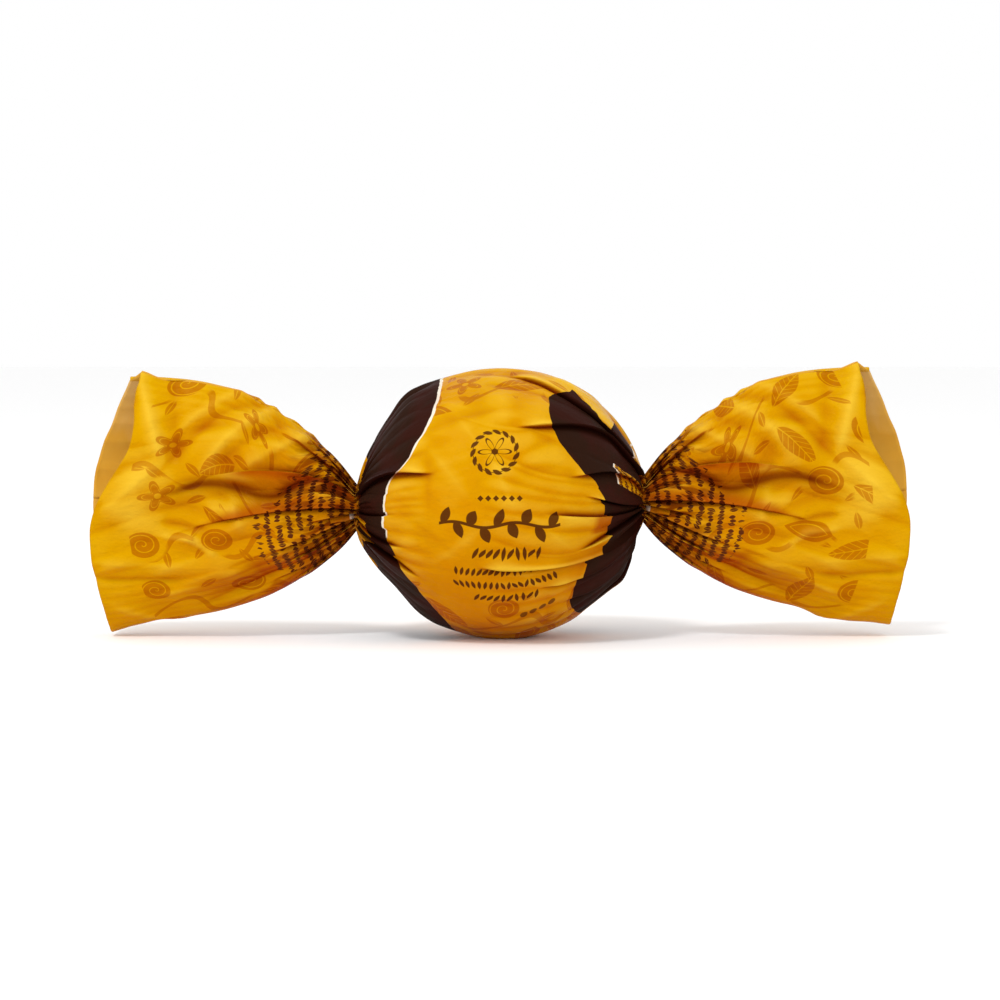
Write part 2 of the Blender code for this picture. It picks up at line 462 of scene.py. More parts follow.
def creaseBall(lift, place, along, width):
    # the dents, drawn lines and creases that the film keeps
    dents = 0.22 * filmNoise(along / 9.0, width / 8.0, 3)
    dents = dents + 0.06 * filmNoise(along / 3.6, width / 3.2, 4)
    drawn = 0.06 * filmNoise(along / 9.0, width / 1.9, 5) * ramp(np.abs(along), 3, 12)
    creases = crumple(along, width, ballCreases) + crumple(along, width, ballFineCreases)
    for middle, angle, reachAlong, reachRound, high in ballDents:
        turnedBy = (place - angle + 180.0) % 360.0 - 180.0
        nearness = bump(along, middle, reachAlong) * bump(turnedBy, 0.0, reachRound)
        dents = dents + high * nearness
    calm = 1 - 0.6 * ramp(np.abs(along), 24, 27)
    lift = lift + (dents + drawn + creases) * calm * awayFromLap(place)
    return lift + lapRise(place)


def buildBallFilm():
    along = np.linspace(-meridianWay[-1], meridianWay[-1], ball["rows"] + 1)
    x, radius = meridianAt(along)
    angles, weights, edges, heights, slides = ballPleating(x, radius)
    hidden = math.tau * (ballRadius - radius)
    columns = shareColumns(ball["columns"], -np.diff(panelBounds(angles)))
    place, lift, width, layersAndShade, pocketShade, inWall = gatherFilm(
        angles, lambda angle: radius, hidden, ball["pleated"], weights, edges, heights, columns
    )
    slide = np.zeros_like(place)
    wallStarts = np.flatnonzero(np.diff(inWall.astype(int)) == 1)
    panel = np.searchsorted(wallStarts, np.arange(len(inWall)))
    slide[:, panel > 0] = slides[:, panel[panel > 0] - 1]
    fillWalls(slide, inWall)
    along = np.repeat(along[:, None], place.shape[1], axis=1)
    lift = fillWalls(creaseBall(lift, place, along, width), inWall)
    # the ridge and valley mark, which the painted highlight and crease shade follow, is lowered where
    # the pockets are painted dark
    relief = reliefOf(lift, ball["sharpFold"]) - pocketShade * 0.3
    points = ballShape(along, place) + outward(ballShape, along, place) * lift[..., None]
    fillWalls(points, inWall)
    points[..., 2] = np.maximum(points[..., 2], 0.0)
    points, along, width, layersAndShade, relief, pocketShade = closeLap(
        points, along - slide, width, layersAndShade, relief, pocketShade
    )
    marks = {"layersAndShade": layersAndShade, "relief": relief, "pocketShade": pocketShade}
    sheet = wrapSheet("ballFilm", points, along, width, marks)
    bpy.ops.object.mode_set(mode="EDIT")
    bpy.ops.mesh.select_all(action="DESELECT")
    bpy.ops.mesh.select_non_manifold()
    bpy.ops.mesh.edge_face_add()
    bpy.ops.mesh.select_all(action="SELECT")
    bpy.ops.mesh.normals_make_consistent(inside=False)
    bpy.ops.object.mode_set(mode="OBJECT")
    return sheet


# the wings, in millimetres
wing = {
    "neckX": 20.2,
    "film": 37.0,  # from the neck to the cut edge, along the film
    "tuck": 0.6,  # how far inside the neck the sheet starts
    "skew": 0.5,  # how much less at the top than at the bottom
    "halfHeight": 17.0,
    "lean": 1.6,  # how much further the wing reaches up than down
    "halfDepth": 5.4,
    "neckHalfDepth": 3.2,
    "opening": 25.5,  # how far from the neck it is fully open
    "sway": 1.5,  # how far back the mouth swings
    "rows": 96,
    "columns": 370,
    "pleated": 0.7,
    "sharpFold": 0.42,
    "frontShort": 4.1,  # how far the upper front edge is drawn back
    "wall": 0.12,
}
# How far the lower side sinks, where that starts and how far its corner turns in; how far the
# upper side rises; how far the rim stands out at the back and below, and its nick at the back.
mouths = {  # -1 is the left wing and 1 the right
    -1: {"drop": 1.3, "from": 24.0, "tip": 1.2, "rise": -0.3, "back": 1.3, "low": 0.8, "nick": 0.6},
    1: {"drop": 1.7, "from": 20.0, "tip": 0.5, "rise": -0.1, "back": 1.3, "low": 1.1, "nick": 0.5},
}


def wingOpening(out):
    # how far the wing has opened, as a share of its height, at a way out from the neck
    part = np.clip(out / wing["opening"], 0.0, 1.0)
    opened = (1.0 - (1.0 - part) ** 1.8) ** 0.655
    return np.hypot(0.16, 0.975 * opened)


def wingDepth(out):
    atNeck = wing["neckHalfDepth"]
    return atNeck + (wing["halfDepth"] - atNeck) * ramp(out, 0.0, 12.0)


def wingSection(out, angle, side):
    # the smooth wing, before its pleats and folds
    turn = np.radians(angle)
    opened = wingOpening(out)
    neck = -ball["leftNeckDrop"] if side < 0 else ball["rightNeckRise"]
    height = opened * (wing["halfHeight"] * np.sin(turn) + wing["lean"] * np.sin(turn) ** 2)
    mouth = mouths[side]
    below = np.maximum(-np.sin(turn), 0.0) ** 1.5
    height = height - below * mouth["drop"] * ramp(out, mouth["from"], mouth["from"] + 9.0)
    height = height - below ** 6 * mouth["tip"] * ramp(out, 31.0, 37.0)
    height = height + mouth["rise"] * np.maximum(np.sin(turn), 0.0) ** 1.5 * ramp(out, 8, 20)
    flare = 1.0 + 0.22 * ramp(out, 24.0, 37.0) * np.cos(turn) ** 2
    y = -wingDepth(out) * np.cos(turn) * flare + wing["sway"] * (out / wing["film"]) ** 2
    z = ballMiddle + neck + height
    return np.stack(np.broadcast_arrays(side * (wing["neckX"] + out), y, z), axis=-1)


wayOut = np.linspace(-1.0, 44.0, 451)
angleStops = np.arange(-280.0, 90.0, 2.0)


def wingWays(side):
    # for each angle, how far out the film has come at each way along it
    points = wingSection(wayOut[None, :], angleStops[:, None], side)
    steps = np.linalg.norm(np.diff(points, axis=1), axis=2)
    way = np.concatenate((np.zeros((len(angleStops), 1)), np.cumsum(steps, axis=1)), axis=1)
    atNeck = np.array([np.interp(0.0, wayOut, w) for w in way])
    return way - atNeck[:, None]


def makeWingShape(side):
    ways = wingWays(side)
    wayStops = np.linspace(-0.8, 40.0, 409)
    table = np.array([np.interp(wayStops, w, wayOut) for w in ways])

    def shape(along, angle):
        a = np.clip((angle - angleStops[0]) / 2.0, 0, len(angleStops) - 1.001)
        w = np.clip((along - wayStops[0]) / 0.1, 0, len(wayStops) - 1.001)
        a0, w0 = a.astype(int), w.astype(int)
        fa, fw = a - a0, w - w0
        out = (
            table[a0, w0] * (1 - fa) * (1 - fw)
            + table[a0 + 1, w0] * fa * (1 - fw)
            + table[a0, w0 + 1] * (1 - fa) * fw
            + table[a0 + 1, w0 + 1] * fa * fw
        )
        return wingSection(out, angle, side)

    return shape


softFolds = [  # degrees at the neck and the mouth, reach in degrees, height, where it fades
    (60, 52, 7, 0.45, 26),
    (45, 30, 6, 0.55, 28),
    (28, 18, 5, -0.35, 22),
    (-30, -30, 8, 0.45, 26),
    (-50, -60, 9, -0.35, 30),
    (-130, -120, 9, 0.5, 30),
    (-170, -160, 9, -0.4, 26),
    (-215, -210, 9, 0.5, 28),
]
wingCreases = {"count": 50, "seed": 41, "from": 3, "to": 38, "lean": -35, "spread": 26,
               "length": 5.0, "reach": 1.8, "height": 0.30, "edge": 0.14}
wingFineCreases = {"count": 150, "seed": 42, "from": 0, "to": 38, "lean": 0, "spread": 30,
                   "length": 3.0, "reach": 0.9, "height": 0.06, "edge": 0.10}
wingRidges = [  # from and to on the flat film, reach and height (a valley is below 0)
    ((33.9, 22), (28.8, 12), 1.1, 1.1),  # the roll beside the upper rim
    ((30.2, 23), (26.2, 12), 1.5, -0.4),
    ((25.4, 16), (20.4, 25), 1.4, 0.7),
    ((26.0, 10), (18.0, 26), 1.4, -0.6),
    ((20.4, 12), (16.5, 26), 1.2, 0.75),
    ((18.4, 13), (14.0, 27), 1.2, -0.6),
    ((16.4, 13), (10.5, 30), 1.2, 0.7),
    ((33.5, 2), (29.0, 7), 2.6, 0.7),
    ((19.3, 2.3), (16.8, 4), 0.6, 0.5),
    ((16.8, 4), (16.2, -1.8), 0.6, 0.4),
    ((26.0, -4.6), (23.0, -5.2), 0.6, 0.7),
    ((23.0, -5.2), (20.8, -7.5), 0.6, 0.6),
    ((22.0, -3.0), (25.5, -2.2), 0.8, -0.6),
    ((35.0, -12.0), (28.0, -12.8), 0.9, -0.7),
    ((35.0, -9.0), (28.0, -10.0), 1.6, 0.5),
    ((27.5, -16.0), (19.5, -13.0), 1.5, 0.6),
    ((22.0, -19.0), (14.0, -15.0), 1.6, -0.7),
    ((34.5, -19.0), (28.5, -24.0), 1.6, 0.5),
    ((22.5, 4.8), (9.2, 11.5), 0.7, -0.9),
]
# painted shade along the wing's long valley: its ends, reach, strength and how dark it is
wingHollowShade = {"from": (22.5, 4.6), "to": (7.0, 12.0), "reach": 1.5, "height": 0.7, "dark": 2.6}


def ridge(along, width, start, stop, reach, high):
    # a crease of the film with soft ends
    way = np.subtract(stop, start)
    length = math.hypot(*way)
    way = way / length
    down = (along - start[0]) * way[0] + (width - start[1]) * way[1]
    across = (along - start[0]) * way[1] - (width - start[1]) * way[0]
    past = np.maximum(np.maximum(-down, down - length), 0.0)
    tent = np.exp(-np.sqrt(across * across + 0.06) / reach)
    return high * tent * np.exp(-((past / (0.25 * length + 0.6)) ** 2))


def wingPleating(way):
    # where every pleat lies on each ring, its share of the film, which edge is on top and how
    # high it stands
    spread = np.clip(way / wing["film"], 0, 1)[:, None]
    atNeck, halfWay, atMouth, opensAt, foldShare, onTop, foldHeight = wingTable().T[:, None, :]
    bend = 4 * spread * (1 - spread) * (halfWay - (atNeck + atMouth) / 2)
    angles = keepOrder(atNeck * (1 - spread) + atMouth * spread + bend, 2.0)
    weights = foldShare * (1 - ramp(way[:, None], 0.25 * opensAt, opensAt))
    edges = np.repeat(onTop, len(way), axis=0)
    heights = foldHeight * (1 - ramp(way[:, None], 0.45 * opensAt, opensAt))
    return angles, weights, edges, heights * (1.25 - 0.25 * ramp(way, 1, 9))[:, None]


def makeArcAt(way):
    # how much film a turn of one radian takes on each ring
    halfHeight = wingOpening(np.maximum(way, 0)) * wing["halfHeight"]
    halfDepth = wingDepth(way)

    def arcAt(angle):
        turn = np.radians(angle)
        return np.hypot(halfHeight * np.cos(turn), halfDepth * np.sin(turn)) + 0.3

    return arcAt


def wingEnd(place, side):
    # where the film is cut off, along it from the neck
    mouth = mouths[side]
    drawnBack = wing["frontShort"] * bump(place, 31, 26) + 1.6 * bump(place, 84, 30) * (place > -120)
    end = wing["film"] - wing["skew"] * np.sin(np.radians(place)) - drawnBack
    end = end + mouth["back"] * bump(place, -205, 40) - mouth["nick"] * bump(place, -221, 16)
    return end + mouth["low"] * bump(place, -90, 45) + 0.25 * filmNoise(place / 14.0, 0 * place, 21)


def creaseWing(lift, place, along, width, end):
    # the soft folds, ridges, dents and creases that the film keeps
    for atNeck, atMouth, reach, high, fades in softFolds:
        middle = atNeck + (atMouth - atNeck) * along / wing["film"]
        shown = ramp(along, 3, 10) * (1 - ramp(along, fades - 8, fades + 8))
        lift = lift + high * bump(place, middle, reach) * shown
    for start, stop, reach, high in wingRidges:
        lift = lift + ridge(along, width, start, stop, reach, high)
        behind = [(out - 1.5, -filmAround / 2 - level) for out, level in (start, stop)]
        lift = lift + ridge(along, width, *behind, reach * 1.2, high * 0.8)
    lift = lift + 0.8 * bump(along, end, 1.8) * bump(place, 82, 7)
    valleyFrom = 14 - 15 * ramp(along, 10, 27)
    valley = bump(place, valleyFrom, 9) * ramp(along, 3, 10) * (1 - ramp(along, 22, 31))
    lift = lift - 1.1 * valley
    dents = 0.50 * filmNoise(along / 11.0, width / 9.0, 13) * ramp(along, 2.0, 16.0)
    drawn = 0.14 * filmNoise(along / 12.0, width / 2.2, 15) * (1 - ramp(along, 14, 30))
    creases = crumple(along, width, wingCreases) + crumple(along, width, wingFineCreases)
    lift = lift + (dents + drawn + creases) * awayFromLap(place)
    return lift + lapRise(place)


def buildWing(side):
    shape = makeWingShape(side)
    rows = wing["rows"] + 1
    share = np.linspace(0.0, 1.0, rows)
    way = -wing["tuck"] + share * (wing["film"] + wing["tuck"])
    angles, weights, edges, heights = wingPleating(way)
    arcAt = makeArcAt(way)
    stops = np.arange(0, 360, 3.0)
    around = sum(arcAt(np.full(rows, a)) for a in stops) * math.radians(3.0)
    hidden = np.maximum(filmAround - around * 1.05, 0.5)
    bounds = panelBounds(angles)
    middles = (bounds[1:] + bounds[:-1]) / 2
    arcs = -np.diff(bounds) * np.array([arcAt(np.full(rows, m))[rows // 2] for m in middles])
    place, lift, width, layersAndShade, pocketShade, inWall = gatherFilm(
        angles, arcAt, hidden, wing["pleated"], weights, edges, heights,
        shareColumns(wing["columns"], arcs),
    )
    end = wingEnd(place, side)
    along = -wing["tuck"] + share[:, None] * (end + wing["tuck"])
    # painted shade along the wing's long valley
    hollowShade = ridge(along, width, *(wingHollowShade[key] for key in ("from", "to", "reach", "height")))
    pocketShade = np.maximum(pocketShade, hollowShade * hollowShade * wingHollowShade["dark"])
    lift = fillWalls(creaseWing(lift, place, along, width, end), inWall)
    # the ridge and valley mark, which the painted highlight and crease shade follow, is lowered where
    # the pockets are painted dark
    relief = reliefOf(lift, wing["sharpFold"]) - pocketShade * 0.3
    points = shape(along, place) + side * outward(shape, along, place) * lift[..., None]
    fillWalls(points, inWall)
    points, along, width, layersAndShade, relief, pocketShade = closeLap(
        points, along, width, layersAndShade, relief, pocketShade
    )
    name = "leftWing" if side < 0 else "rightWing"
    marks = {"layersAndShade": layersAndShade, "relief": relief, "pocketShade": pocketShade}
    sheet = wrapSheet(name, points, side * (neckWay + along), width, marks)
    faceOut(sheet)
    sheet.data.materials.append(outside)
    sheet.data.materials.append(inside)
    thick = sheet.modifiers.new("film", "SOLIDIFY")
    thick.thickness = wing["wall"] * mm
    thick.offset = -1.0
    thick.material_offset = 1
    thick.material_offset_rim = 1
    bpy.ops.object.modifier_apply(modifier="film")
    return sheet


class Wire:
    # a shader socket that can be used in a sum; numbers mix with it freely
    def __init__(self, socket):
        self.socket = socket

    def node(self, kind, settings, inputs, output=0):
        tree = self.socket.id_data
        added = tree.nodes.new("ShaderNode" + kind)
        for name, value in settings.items():
            setattr(added, name, value)
        for name, value in inputs.items():
            if isinstance(value, Wire):
                tree.links.new(value.socket, added.inputs[name])
            else:
                added.inputs[name].default_value = value
        return Wire(added.outputs[output])

    def maths(self, operation, *values, clamp=False):
        inputs = dict(enumerate((self,) + values))
        return self.node("Math", {"operation": operation, "use_clamp": clamp}, inputs)

    def __add__(self, other):
        return self.maths("ADD", other)

    def __sub__(self, other):
        return self.maths("SUBTRACT", other)

    def __mul__(self, other):
        return self.maths("MULTIPLY", other)

    def __truediv__(self, other):
        return self.maths("DIVIDE", other)

    def __rsub__(self, other):
        return self.maths("MULTIPLY_ADD", -1.0, other)

    def __rtruediv__(self, other):
        return self.node("Math", {"operation": "DIVIDE"}, {0: other, 1: self})

    __radd__, __rmul__ = __add__, __mul__

    def __abs__(self):
        return self.maths("ABSOLUTE")

    def __lt__(self, other):
        return self.maths("LESS_THAN", other)

    def __gt__(self, other):
        return self.maths("GREATER_THAN", other)


def lengthOf(x, y):
    return (x * x + y * y).maths("SQRT")


def inked(distance, edge=0.09):
    # 1 inside an outline and 0 outside it, with a thin soft edge
    return distance.maths("MULTIPLY_ADD", -1.0 / edge, 0.5, clamp=True)


def either(*masks):
    total = masks[0]
    for mask in masks[1:]:
        total = total.maths("MAXIMUM", mask)
    return total


def turned(x, y, angle):
    if isinstance(angle, Wire):
        cosine, sine = angle.maths("COSINE"), angle.maths("SINE")
    else:
        cosine, sine = math.cos(angle), math.sin(angle)
    return x * cosine + y * sine, y * cosine - x * sine


def leafShape(x, y, half, wide):
    share = x / half
    return abs(y) - (1.0 - share * share) * wide


def flowerShape(x, y, petals, radius, depth=0.3):
    wave = (y.maths("ARCTAN2", x) * float(petals)).maths("COSINE")
    return lengthOf(x, y) - (wave * depth + (1.0 - depth)) * radius


def spiralLine(x, y, pitch, line):
    turns = lengthOf(x, y) / pitch - y.maths("ARCTAN2", x) / math.tau
    return abs(turns.maths("FRACT") - 0.5) * pitch - line / 2


def cells(x, y, size, scatter, shift=0.0):
    # one motif for each cell: its own place and turn, and two chances for its kind and size
    place = x.node("CombineXYZ", {}, {0: x + shift, 1: y + shift * 0.7})
    settings = {"voronoi_dimensions": "2D"}
    inputs = {"Vector": place, "Scale": 1.0 / size, "Randomness": scatter}
    middle = x.node("TexVoronoi", settings, inputs, "Position")
    chance = Wire(middle.socket.node.outputs["Color"])
    offset = x.node("VectorMath", {"operation": "SUBTRACT"}, {0: place, 1: middle})
    localX, localY = (x.node("SeparateXYZ", {}, {0: offset}, axis) for axis in (0, 1))
    pick = [x.node("SeparateColor", {}, {0: chance}, channel) for channel in (0, 1, 2)]
    localX, localY = turned(localX, localY, pick[0] * math.tau)
    return localX, localY, pick[1], pick[2]


def mixColours(a, b, share, blend="MIX"):
    known = share if isinstance(share, Wire) else (a if isinstance(a, Wire) else b)
    settings = {"data_type": "RGBA", "blend_type": blend}
    return known.node("Mix", settings, {0: share, 6: a, 7: b}, 2)


def filmTexture(x, y, scale, detail):
    place = x.node("CombineXYZ", {}, {0: x, 1: y})
    settings = {"noise_dimensions": "2D"}
    return x.node("TexNoise", settings, {"Vector": place, "Scale": scale, "Detail": detail})


def repeated(value, pitch):
    # the same stretch over and over, from minus to plus half a pitch
    return (value / pitch).maths("FRACT") * pitch - pitch / 2


def motifs(x, y):
    # leaves, flowers and curls scattered over the film, in a darker tone of its own yellow
    u, v, kind, size = cells(x, y, 9.6, 0.55)
    grown = size * 0.25 + 0.85
    u, v = u / grown, v / grown
    vein = either(inked(abs(v) - 0.07), inked(abs((u * 0.9 + abs(v)).maths("FRACT") - 0.5) - 0.05))
    leaf = inked(leafShape(u, v, 4.0, 1.5)) * (1.0 - vein)
    rim = inked(abs(flowerShape(u, v, 5, 2.2)) - 0.06)
    flower = inked(flowerShape(u, v, 5, 2.9)) * (1.0 - either(rim, inked(lengthOf(u, v) - 0.5)))
    curl = inked(lengthOf(u, v) - 2.4) * (1.0 - inked(spiralLine(u, v, 1.1, 0.16)))
    drop = leafShape(u + v * v * 0.25, v, 3.6, 1.9)
    drop = inked(drop) * (1.0 - inked(abs(drop + 0.8) - 0.07))
    big = leaf * (kind < 0.38) + flower * (kind > 0.38) * (kind < 0.6)
    big = big + curl * (kind > 0.6) * (kind < 0.8) + drop * (kind > 0.8)
    a, b, kind, _ = cells(x, y, 5.3, 0.8, 31.0)
    small = inked(leafShape(a, b, 1.7, 0.55)) * (1.0 - inked(abs(b) - 0.05)) * (kind > 0.45)
    wave = (x * 0.55 + (y * 0.16).maths("SINE") * 2.0).maths("SINE") * 2.2
    ribbon = inked(abs(repeated(y, 13.16) - wave) - 0.5)
    clear = 1.0 - inked(lengthOf(u, v) - 3.4, 0.6)
    return either(big, small * clear * 0.9, ribbon * clear * 0.8)


def seeds(x, y):
    # rows of small dark beans, each with its own lean, size and place
    row = (x / 1.5).maths("FLOOR")
    shifted = (y + filmTexture(x, y, 0.5, 1.0)) / 0.7 + row * 0.37
    cell = shifted.maths("FLOOR")
    place = x.node("CombineXYZ", {}, {0: cell, 1: row})
    chance = x.node("TexWhiteNoise", {"noise_dimensions": "2D"}, {"Vector": place})
    second, third = (chance * 7.3).maths("FRACT"), (chance * 31.7).maths("FRACT")
    u, v = (x / 1.5 - row - 0.5) * 1.5 + (third - 0.5) * 0.3, (shifted - cell - 0.5) * 0.7
    u, v = turned(u, v, (chance - 0.5) * 1.5)
    bean = inked(leafShape(u / (second * 0.5 + 0.62), v, 0.6, 0.34), 0.07)
    return bean * (1.0 - inked(abs(v) - 0.02, 0.07) * (second > 0.4)) * (third > 0.1)


labelLook = {
    # a lit and a shaded copy of the film's yellow, mixed by which way the film faces: painted light
    # and shade
    "yellow": (0.61, 0.325, 0.0, 1),
    "yellowShaded": (0.53, 0.155, 0.0, 1),
    # the colour of the painted highlight
    "ridge": (0.74, 0.452, 0.03, 1),
    # the colour of painted shade in creases
    "fold": (0.64, 0.29, 0.12, 1),
    "motif": (0.69, 0.43, 0.2, 1),
    # darker where the film lies doubled, and also used for painted shade
    "doubledAndShade": (0.64, 0.30, 0.2, 1),
    # the colour of painted shade at the knot
    "knotShade": (0.45, 0.24, 0.15, 1),
    "brown": (0.029, 0.0070, 0.0046, 1),
    "brownDeep": (0.022, 0.0080, 0.0045, 1),
    "grain": (0.062, 0.0115, 0.003, 1),
    "bean": (0.10, 0.022, 0.005, 1),
    # the colour of painted shade in pockets and between folds
    "pocketShade": (0.26, 0.06, 0.02, 1),
    # the pale line's colour, also used for the painted highlight beyond the knot
    "whiteLine": (0.80, 0.74, 0.62, 1),
    "repeat": filmAround / 2,
    "inside": (0.64, 0.34, 0.04, 1),
    "insideLow": (0.60, 0.27, 0.01, 1),
    # the colour of the painted highlight inside
    "insideGleam": (0.72, 0.46, 0.16, 1),
}


def grainRow(x, y, pitch, half, wide, lean):
    # one row of grains, each leaning a little its own way
    cell = (x / pitch).maths("FLOOR")
    chance = x.node("TexWhiteNoise", {"noise_dimensions": "1D"}, {"W": cell})
    u, v = turned((x / pitch - cell - 0.5) * pitch, y, (chance - 0.5) * 1.1 + lean)
    return inked(leafShape(u, v, half, wide))


grainRows = [  # how far down, pitch, half length, half width, lean, and the row's middle and reach
    (6.0, 0.95, 1.0, 0.28, 1.3, 0.95, 4.75),
    (8.9, 0.8, 0.7, 0.25, 1.2, 0.8, 7.2),
    (11.0, 0.8, 0.7, 0.25, 1.9, 0.8, 7.2),
    (13.2, 0.9, 0.75, 0.26, 1.3, 0.9, 4.5),
]


def labelPrint(x, y):
    # the print on the ball's face: a wreath, diamonds, a garland, rows of grains and beads
    wreathX, wreathY = x + 0.7, y - 8.0
    rosette = lengthOf(wreathX, wreathY)
    leafTurn = (wreathY.maths("ARCTAN2", wreathX) * (15 / math.tau)).maths("FRACT") - 0.5
    u, v = turned(leafTurn * 1.25, rosette - 2.95, 0.5)
    wreath = either(inked(leafShape(u, v, 0.72, 0.3)), inked(abs(rosette - 2.95) - 0.05))
    petals = inked(abs(flowerShape(wreathX, wreathY, 6, 2.15, 0.42)) - 0.17)
    heart = inked(rosette - 0.45)
    diamonds = inked(abs(repeated(x, 1.05)) + abs(y - 1.6) - 0.42) * inked(abs(x + 0.1) - 3.2)
    stem = y + 2.0 - (x * 0.74).maths("SINE") * 0.35
    step = (x + 8.45) / 1.85
    side = (step.maths("FLOOR") * math.pi).maths("COSINE")
    u, v = turned((step.maths("FRACT") - 0.5) * 1.85, stem * side - 0.95, 1.15)
    garland = either(inked(abs(stem) - 0.22), inked(leafShape(u, v, 1.3, 0.7)))
    garland = garland * inked(abs(x + 0.125) - 8.325)
    grains = [
        grainRow(x, y + down, *grain) * inked(abs(x - middle) - reach)
        for down, *grain, middle, reach in grainRows
    ]
    beads = inked(lengthOf(repeated(x, 1.3), y + 17.9 - x * 0.24) - 0.52) * inked(abs(x - 5.2) - 2.6)
    return either(wreath, petals, heart, diamonds, garland, *grains, beads * 0.82)


def edgeCurve(y, reach, swell, least):
    # a print edge that bulges by swell at the middle of the label
    share = y / reach
    share = share * share
    return swell / (share * share + 1.0) + least


brownLook = {
    # each edge: its reach up and down the label, its swell and its least way from the middle
    "leftTop": (10.5, 9.8, 8.0),
    "leftLow": (16.3, 13.0, 4.5),
    "leftOuter": (33.0, 16.0, 10.0),
    "rightTop": (7.7, 9.5, 6.0),
    "rightLow": (11.8, 7.1, 9.1),
    "rightOuter": 25.8,
    "foldedAt": 9.0,  # where the wing's print is turned over the ball, up from the middle
    "peak": (10.0, 24.8),  # the right field's highest point, along and up
    "bottom": -27.3,
    "line": 0.15,  # half the width of the white line
}
filmLook = {
    "ballEnd": 27.3,  # along the film, from the middle
    "wingStart": 28.5,
    "tightest": 28.0,
    "leastRough": 0.16,
    "streaks": 0.16,
    "brownRough": 0.3,
    "bumpStrength": 0.45,
    "bumpDepth": 0.0004,
    "refraction": 1.09,
    "reflected": (1.0, 0.76, 0.35, 1),
    "insideRough": 0.28,
    "insideRefraction": 1.2,
}


def newFilm(name):
    # a material with its shader, and the flat film's two directions
    material = bpy.data.materials.new(name)
    material.use_nodes = True
    shader = material.node_tree.nodes["Principled BSDF"]
    flat = Wire(shader.inputs["Base Color"]).node("UVMap", {"uv_map": "flatFilm"}, {})
    along, around = (flat.node("SeparateXYZ", {}, {0: flat}, axis) for axis in (0, 1))
    return material, shader, along, around


def plug(shader, name, value):
    shader.id_data.links.new(value.socket, shader.inputs[name])


def beyond(value):
    return value.maths("MAXIMUM", 0.0)


def marked(wire, name):
    # a value that the sheet carries at each point
    return wire.node("Attribute", {"attribute_name": name}, {}, "Fac")


def brownFields(along, label, wobble, front):
    # the dark fields beside the label, the pale lines along them, and where the wing's print
    # is turned over the ball
    upper = label > 0.0
    lower = 1.0 - upper
    leftEdge = edgeCurve(label, *brownLook["leftTop"]) * upper
    leftEdge = leftEdge + edgeCurve(label, *brownLook["leftLow"]) * lower + wobble * 0.7
    rightEdge = edgeCurve(label, *brownLook["rightTop"]) * upper
    rightEdge = rightEdge + edgeCurve(label, *brownLook["rightLow"]) * lower + wobble * 0.5
    rightEdge = rightEdge + beyond(-19.2 - label) * 0.3 + beyond(label - 15.0) * 0.16
    bits = either(inked(abs(label + 6.3) - 2.2), inked(abs(label + 13.8) - 1.7)) * front
    leftOuter = edgeCurve(label - 2.0, *brownLook["leftOuter"]) - bits * (3.6 + wobble * 4.0)
    leftBrown = inked(leftEdge + along) * inked(-1.0 * along - leftOuter)
    folded = inked(abs(label - brownLook["foldedAt"]) - 2.5) * front
    tail = inked(19.8 - label) * front
    rightOuter = brownLook["rightOuter"] - folded * 7.6 - tail * 3.4
    rightBrown = inked(rightEdge - along) * inked(along - rightOuter - wobble * 1.5)
    peakAlong, peakUp = brownLook["peak"]
    overTop = inked(17.3 - along, 1.5) * 7.0
    topEnd = label - peakUp + beyond(peakAlong - along) * 1.75 + wobble * 2.0 - overTop
    topEnd = topEnd + beyond(along - peakAlong) * 0.58
    rightBrown = rightBrown * inked(topEnd) * inked(brownLook["bottom"] - label)
    whiteLine = inked(abs(leftEdge + along) - upper * 0.07 - brownLook["line"])
    paleEnd = inked(abs(along - rightOuter + 0.1) - 0.17) * either(tail, folded)
    pale = either(whiteLine * inked(-5.0 - label, 0.6), paleEnd)
    return either(leftBrown, rightBrown), pale, folded


def yellowWithPaintedLight(along, around, out, wingShare):
    # the yellow, with light and shade painted in: deeper where the film faces down and on the ball's
    # very top, lighter towards the wings' mouths, a painted highlight on ridges and near the mouths,
    # and painted shade under the wings
    mottle = filmTexture(along, around, 0.12, 3.0)
    facing = along.node("NewGeometry", {}, {}, "Normal")
    upward = facing.node("SeparateXYZ", {}, {0: facing}, 2)
    # painted light and shade: lighter where the film faces up and towards the wings' mouths, darker on
    # the ball's very top
    glow = upward * 0.42 + 0.5 + (mottle - 0.5) * 0.5 + wingShare * (out - 44.0) * 0.016
    glow = glow - beyond(upward - 0.7) * 1.3 * (1.0 - wingShare)
    glow = glow.maths("ADD", 0.0, clamp=True)
    # painted highlight: the yellow turns paler on the film's ridges, a little where it faces up, and
    # in a mottled patch near the wings' mouths
    mouthGlow = wingShare * inked(abs(out - 58.5) - 3.0, 6.0) * inked(abs(around - 4.0) - 7.0, 6.0)
    raised = marked(along, "relief") * 0.75 + upward * 0.1 + mouthGlow * mottle * 0.9
    raised = raised.maths("MULTIPLY", 1.0, clamp=True)
    # painted shade: the wings' film that faces down is darkened, away from the mouths
    shadeUnder = (upward + 0.2).maths("MULTIPLY", -1.6, clamp=True) * wingShare
    # the shaded and the lit copy of the yellow, mixed by the painted light above
    colour = mixColours(labelLook["yellowShaded"], labelLook["yellow"], glow)
    return mixColours(colour, labelLook["ridge"], raised), shadeUnder * inked(out - 48.0, 12.0)
